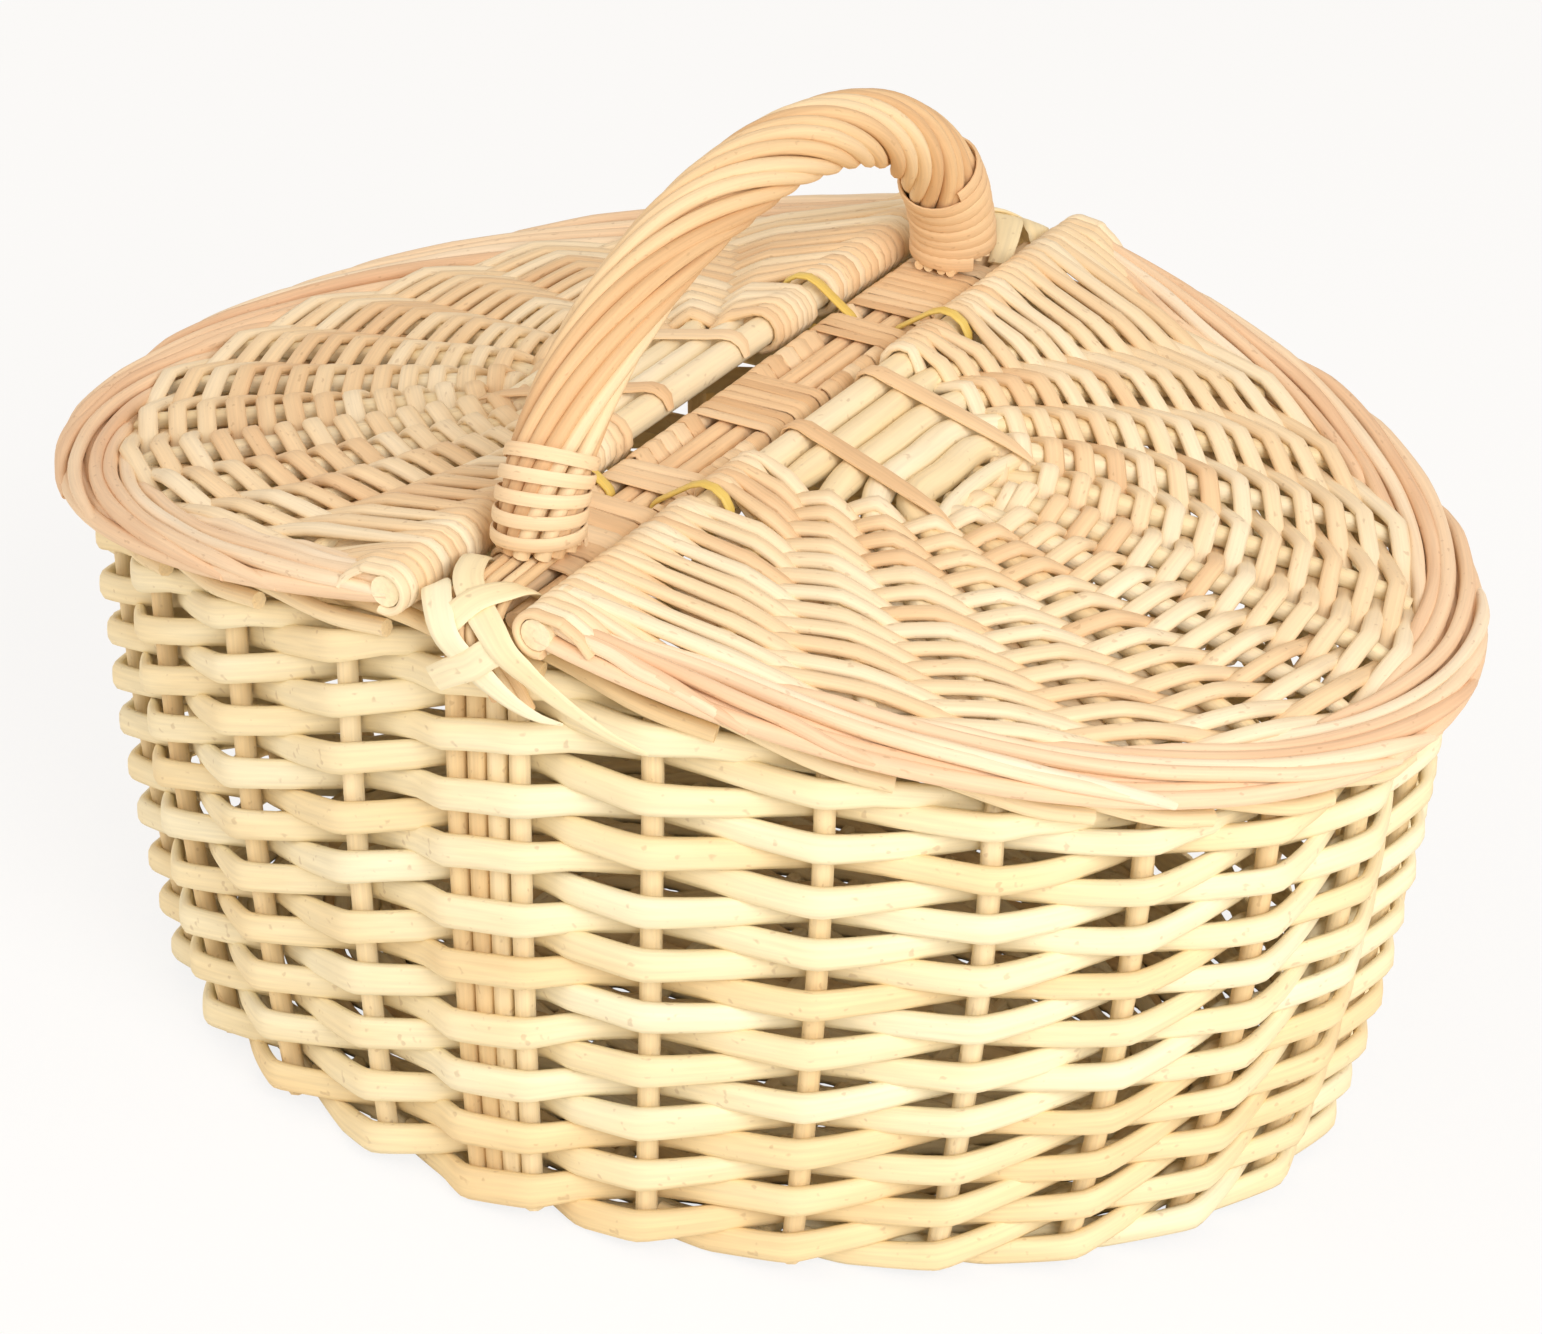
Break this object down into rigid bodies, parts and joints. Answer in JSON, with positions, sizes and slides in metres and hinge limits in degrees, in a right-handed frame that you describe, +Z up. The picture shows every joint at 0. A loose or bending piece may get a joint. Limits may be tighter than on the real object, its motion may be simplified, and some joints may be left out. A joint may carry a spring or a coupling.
{
  "type": "picnic basket",
  "caption": "Oval woven willow picnic basket with a randed side, D-shaped lids hinged on a centre bridge, and a roped arch handle bound at its feet.",
  "frame": {"origin": "middle of the base's underside, on the surface that the basket stands on", "axes": "+X along the basket towards the right lid, +Y across it in the handle's plane, +Z up"},
  "size_m": [0.4108, 0.2984, 0.2627],
  "materials": {
    "willow_side": "matte",
    "willow_lid": "matte",
    "willow_handle": "satin",
    "willow_skein": "satin",
    "cane_tie": "satin"
  },
  "bodies": {
    "basket": {"side_weaver_01": "willow_side", "side_weaver_02": "willow_side", "side_weaver_03": "willow_side", "side_weaver_04": "willow_side", "side_weaver_05": "willow_side", "side_weaver_06": "willow_side", "side_weaver_07": "willow_side", "side_weaver_08": "willow_side", "side_weaver_09": "willow_side", "side_weaver_10": "willow_side", "side_weaver_11": "willow_side", "side_weaver_12": "willow_side", "side_weaver_13": "willow_side", "side_weaver_14": "willow_side", "side_weaver_15": "willow_side", "side_weaver_16": "willow_side", "side_weaver_17": "willow_side", "side_weaver_18": "willow_side", "side_weaver_19": "willow_side", "side_weaver_20": "willow_side", "side_weaver_21": "willow_side", "side_weaver_22": "willow_side", "side_weaver_23": "willow_side", "side_weaver_24": "willow_side", "side_weaver_25": "willow_side", "side_weaver_26": "willow_side", "stake_frame_front": "willow_side", "stake_frame_right": "willow_side", "stake_frame_back": "willow_side", "stake_frame_left": "willow_side", "base": "willow_side", "bridge_stick_1": "willow_skein", "bridge_stick_2": "willow_skein", "bridge_stick_3": "willow_skein", "bridge_stick_4": "willow_skein", "bridge_wrap_front": "willow_skein", "bridge_wrap_centre": "willow_skein", "bridge_wrap_back": "willow_skein", "right_hinge_tie_1": "cane_tie", "right_hinge_tie_2": "cane_tie", "left_hinge_tie_1": "cane_tie", "left_hinge_tie_2": "cane_tie", "handle_grip": "willow_handle", "handle_collar_front": "willow_skein", "handle_lashing_front": "willow_side", "handle_splint_front_1": "willow_handle", "handle_splint_front_2": "willow_handle", "handle_collar_back": "willow_skein", "handle_lashing_back": "willow_side", "handle_splint_back_1": "willow_handle", "handle_splint_back_2": "willow_handle"},
    "right_lid": {"right_lid_bar": "willow_lid", "right_lid_weave": "willow_lid", "right_lid_border": "willow_lid"},
    "left_lid": {"left_lid_bar": "willow_lid", "left_lid_weave": "willow_lid", "left_lid_border": "willow_lid"}
  },
  "joints": [
    {"name": "right_lid_hinge", "type": "hinge", "parent": "basket", "child": "right_lid", "pos_m": [0.022, 0, 0.18439], "axis": [0, -1, 0], "range_deg": [0, 105]},
    {"name": "left_lid_hinge", "type": "hinge", "parent": "basket", "child": "left_lid", "pos_m": [-0.022, 0, 0.18439], "axis": [0, 1, 0], "range_deg": [0, 105]}
  ]
}
